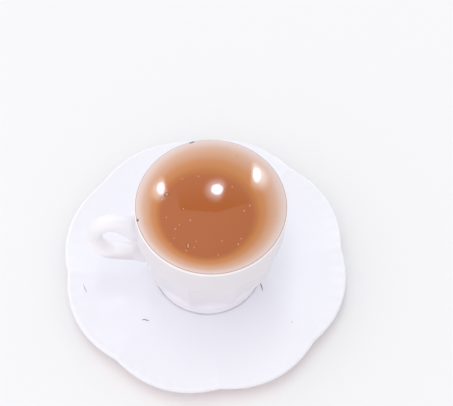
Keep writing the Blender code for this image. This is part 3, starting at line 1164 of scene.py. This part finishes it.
def glowing_material(name):
    """A glowing material with its tree, its glow and its object-space coordinates."""
    material = bpy.data.materials.new(name)
    material.use_nodes = True
    tree = material.node_tree
    tree.nodes.remove(tree.nodes["Principled BSDF"])
    glow = tree.nodes.new("ShaderNodeEmission")
    tree.links.new(glow.outputs["Emission"], tree.nodes["Material Output"].inputs["Surface"])
    return material, tree, glow, tree.nodes.new("ShaderNodeTexCoord").outputs["Object"]


def mirror_only(card, material):
    """Give a card its material and let it be seen only in reflections."""
    card.data.materials.append(material)
    card.visible_camera = False
    card.visible_diffuse = False
    card.visible_shadow = False
    card.visible_transmission = False
    card.visible_volume_scatter = False


def lamp_light(name, brightness, cut_side, glow_length, glow_width):
    """Light of an oval lamp, brightest in its core, with a soft glow round it that one side cuts off."""
    material, tree, glow, place = glowing_material(name)
    lamp_place = vector_node(tree, "MULTIPLY", place, (glow_length, glow_width, 1.0)).outputs["Vector"]
    core = smooth_range(tree, vector_length(tree, lamp_place), LAMP_CORE_END, LAMP_CORE)
    halo = smooth_range(tree, vector_length(tree, place), 1.0, LAMP_GLOW_START)
    halo = math_node(tree, "MULTIPLY", halo, LAMP_GLOW)
    light = math_node(tree, "MULTIPLY_ADD", core, brightness, halo)
    across = math_node(tree, "MULTIPLY", axes_of(tree, lamp_place)["Y"], cut_side)
    kept = smooth_range(tree, across, LAMP_CUT, LAMP_CUT - LAMP_CUT_SOFT)
    tree.links.new(math_node(tree, "MULTIPLY", light, kept), glow.inputs["Strength"])
    glow.inputs["Color"].default_value = opaque(LAMP_COLOUR)
    clear = tree.nodes.new("ShaderNodeBsdfTransparent")
    added = tree.nodes.new("ShaderNodeAddShader")
    tree.links.new(glow.outputs["Emission"], added.inputs[0])
    tree.links.new(clear.outputs["BSDF"], added.inputs[1])
    tree.links.new(added.outputs["Shader"], tree.nodes["Material Output"].inputs["Surface"])
    return material


def lamp_card(
    index, azimuth, elevation, half_length, half_width, tilt, brightness, cut_side, glow_length, glow_width
):
    """A lamp with its glow, as a card that faces the cup."""
    toward = direction(azimuth, elevation)
    level = Vector((cos(radians(azimuth)), -sin(radians(azimuth)), 0.0))
    upward = level.cross(toward)
    long_side = level * cos(radians(tilt)) + upward * sin(radians(tilt))
    axes = Matrix((long_side, toward.cross(long_side), toward)).transposed().to_4x4()
    length = LAMP_DISTANCE * tan(radians(half_length)) * glow_length
    width = LAMP_DISTANCE * tan(radians(half_width)) * glow_width
    shape = bmesh.new()
    bmesh.ops.create_grid(shape, x_segments=1, y_segments=1, size=1.0)
    card = piece_from(shape, f"lamp_card_{index}")
    place = CUP_PLACE + UP * CUP_TALL + toward * LAMP_DISTANCE
    card.matrix_world = Matrix.Translation(place) @ axes @ Matrix.Diagonal((length, width, 1.0, 1.0))
    material = lamp_light(f"lamp_light_{index}", brightness, cut_side, glow_length, glow_width)
    mirror_only(card, material)


def dark_opening():
    """A dark opening behind the cup that its dome mirrors, paler low down."""
    shape = bmesh.new()
    middle = CUP_PLACE + UP * CUP_TALL
    corners = [
        shape.verts.new(middle + direction(*corner) * OPENING_DISTANCE) for corner in OPENING_CORNERS
    ]
    shape.faces.new(corners)
    bmesh.ops.triangulate(shape, faces=shape.faces)
    card = piece_from(shape, "dark_panel")
    material, tree, glow, place = glowing_material("dark_opening")
    low = smooth_range(tree, axes_of(tree, place)["Z"], OPENING_DARK_HEIGHT, OPENING_PALE_HEIGHT)
    strength = math_node(tree, "MULTIPLY_ADD", low, OPENING_PALE - OPENING_DARK, OPENING_DARK)
    tree.links.new(strength, glow.inputs["Strength"])
    mirror_only(card, material)


def make_world(stage):
    """Soft surroundings, pinker at the sides than above and brighter on the left."""
    world = bpy.data.worlds.new("soft_surroundings")
    bpy.context.scene.world = world
    world.use_nodes = True
    tree = world.node_tree
    background = tree.nodes["Background"]
    background.inputs["Strength"].default_value = stage.sky_strength
    axes = axes_of(tree, tree.nodes.new("ShaderNodeTexCoord").outputs["Generated"])
    height = math_node(tree, "POWER", math_node(tree, "ABSOLUTE", axes["Z"]), HORIZON_RISE)
    tone = mix_colours(tree, height, stage.horizon, stage.zenith)
    slant = math_node(tree, "MULTIPLY_ADD", axes["X"], -stage.left_bias, 1.0)
    tree.links.new(scaled_colour(tree, tone, slant), background.inputs["Color"])


def make_table(stage):
    """The plain pale table top, with a painted warm shadow tint round the saucer."""
    shape = bmesh.new()
    bmesh.ops.create_grid(shape, x_segments=1, y_segments=1, size=stage.table_width / 2)
    table = piece_from(shape, "table_top")
    material, tree, shader, place = new_material("table_paint", TABLE_ROUGHNESS, GLAZE_IOR)
    clouds = noise_node(tree, place, TABLE_CLOUD_SCALE)
    colour = stage.table_colour
    tone = mix_colours(tree, clouds, shaded(colour, TABLE_CLOUD_DEPTH), colour)
    # Painted warm shadow tint round the saucer
    distance = vector_node(tree, "DISTANCE", place, TABLE_SHADOW_TINT_PLACE).outputs["Value"]
    near = smooth_range(tree, distance, TABLE_SHADOW_TINT_FAR, TABLE_SHADOW_TINT_NEAR)
    tone = mix_colours(tree, near, tone, stage.table_shadow_tint)
    tree.links.new(tone, shader.inputs["Base Color"])
    shader.inputs["Specular IOR Level"].default_value = 0.0
    table.data.materials.append(material)


def make_overhead(stage):
    """A long narrow soft lamp overhead, leaning to the left, that the glaze doesn't mirror."""
    light = bpy.data.lights.new("overhead", "AREA")
    light.shape = "RECTANGLE"
    light.size = OVERHEAD_WIDTH
    light.size_y = OVERHEAD_LENGTH
    light.energy = stage.overhead_watts
    lamp = bpy.data.objects.new("overhead", light)
    bpy.context.scene.collection.objects.link(lamp)
    lean = Vector((-sin(OVERHEAD_LEAN), 0.0, cos(OVERHEAD_LEAN)))
    along = Vector((0.0, 1.0, 0.0))
    axes = Matrix((along.cross(lean), along, lean)).transposed().to_4x4()
    lamp.matrix_world = Matrix.Translation(CUP_PLACE + lean * OVERHEAD_HEIGHT) @ axes
    lamp.visible_glossy = False


def make_camera(stage):
    """The camera at the photograph's angle, the cup's foot at its place in the picture."""
    elevation, roll = stage.camera_elevation, stage.camera_roll
    right = Vector((1.0, 0.0, 0.0))
    up = Vector((0.0, sin(elevation), cos(elevation)))
    back = Vector((0.0, -cos(elevation), sin(elevation)))
    rolled_right = right * cos(roll) + up * sin(roll)
    rolled_up = up * cos(roll) - right * sin(roll)
    picture_width = stage.camera_distance * SENSOR_WIDTH / FOCAL_LENGTH
    picture_height = picture_width * PICTURE.y / PICTURE.x
    across = (FOCUS.x / PICTURE.x - PICTURE_MIDDLE) * picture_width
    down = (FOCUS.y / PICTURE.y - PICTURE_MIDDLE) * picture_height
    focus = Vector((CUP_PLACE.x, CUP_PLACE.y, 0.0))
    place = focus + back * stage.camera_distance - rolled_right * across + rolled_up * down
    camera = bpy.data.objects.new("camera", bpy.data.cameras.new("camera"))
    bpy.context.scene.collection.objects.link(camera)
    axes = Matrix((rolled_right, rolled_up, back)).transposed().to_4x4()
    camera.matrix_world = Matrix.Translation(place) @ axes
    camera.data.lens = FOCAL_LENGTH
    camera.data.sensor_width = SENSOR_WIDTH
    camera.data.clip_start = CAMERA_NEAR
    camera.data.clip_end = CAMERA_FAR
    bpy.context.scene.camera = camera


# Operators


class BuildSaucer(bpy.types.Operator):
    """Build the fine saucer"""

    bl_idname = "coffee.saucer"
    bl_label = "Saucer"

    def execute(self, context):
        make_saucer(context.scene.miniature)
        return {"FINISHED"}


class BuildCup(bpy.types.Operator):
    """Build the fine cup with its handle"""

    bl_idname = "coffee.cup"
    bl_label = "Cup"

    def execute(self, context):
        make_cup(context.scene.miniature)
        return {"FINISHED"}


class BuildCoffee(bpy.types.Operator):
    """Build the resin coffee"""

    bl_idname = "coffee.coffee"
    bl_label = "Coffee"

    def execute(self, context):
        make_coffee(context.scene.miniature)
        return {"FINISHED"}


class BuildBubbles(bpy.types.Operator):
    """Build the bubbles and flecks in the resin"""

    bl_idname = "coffee.bubbles"
    bl_label = "Bubbles and flecks"

    def execute(self, context):
        make_bubbles(context.scene.miniature)
        make_flecks(context.scene.miniature)
        return {"FINISHED"}


class BuildLint(bpy.types.Operator):
    """Lay the loose fibres on the saucer"""

    bl_idname = "coffee.lint"
    bl_label = "Lint"

    def execute(self, context):
        make_lint(context.scene.miniature)
        return {"FINISHED"}


class BuildStage(bpy.types.Operator):
    """Set up the table, the lamps and the camera"""

    bl_idname = "coffee.stage"
    bl_label = "Stage"

    def execute(self, context):
        stage = context.scene.miniature.stage
        context.scene.view_settings.view_transform = "Standard"
        make_world(stage)
        make_table(stage)
        make_overhead(stage)
        for index, lamp in enumerate(LAMPS):
            lamp_card(index, *lamp)
        dark_opening()
        make_camera(stage)
        return {"FINISHED"}


class CoffeePanel(bpy.types.Panel):
    """Sizes, colours and build buttons of the miniature"""

    bl_idname = "VIEW3D_PT_coffee"
    bl_label = "Miniature cup of coffee"
    bl_space_type = "VIEW_3D"
    bl_region_type = "UI"
    bl_category = "Coffee"

    def draw(self, context):
        settings = context.scene.miniature
        for operator, group in PANEL_ROWS:
            box = self.layout.box()
            box.operator(operator.bl_idname)
            for name in group.__annotations__:
                box.prop(getattr(settings, GROUP_NAMES[group]), name)


BUILDERS = (BuildSaucer, BuildCup, BuildCoffee, BuildBubbles, BuildLint, BuildStage)
GROUP_NAMES = {
    SaucerSettings: "saucer",
    CupSettings: "cup",
    CoffeeSettings: "coffee",
    DetailSettings: "detail",
    LintSettings: "lint",
    StageSettings: "stage",
}
PANEL_ROWS = (
    (BuildSaucer, SaucerSettings),
    (BuildCup, CupSettings),
    (BuildCoffee, CoffeeSettings),
    (BuildBubbles, DetailSettings),
    (BuildLint, LintSettings),
    (BuildStage, StageSettings),
)
CLASSES = (*GROUP_NAMES, MiniatureSettings, *BUILDERS, CoffeePanel)


def register():
    """Register the classes and the scene's settings."""
    for cls in CLASSES:
        bpy.utils.register_class(cls)
    bpy.types.Scene.miniature = bpy.props.PointerProperty(type=MiniatureSettings)


def unregister():
    """Undo register."""
    del bpy.types.Scene.miniature
    for cls in reversed(CLASSES):
        bpy.utils.unregister_class(cls)


def main():
    """Build every piece in order."""
    register()
    bpy.ops.coffee.saucer()
    bpy.ops.coffee.cup()
    bpy.ops.coffee.coffee()
    bpy.ops.coffee.bubbles()
    bpy.ops.coffee.lint()
    bpy.ops.coffee.stage()


if __name__ == "__main__":
    main()
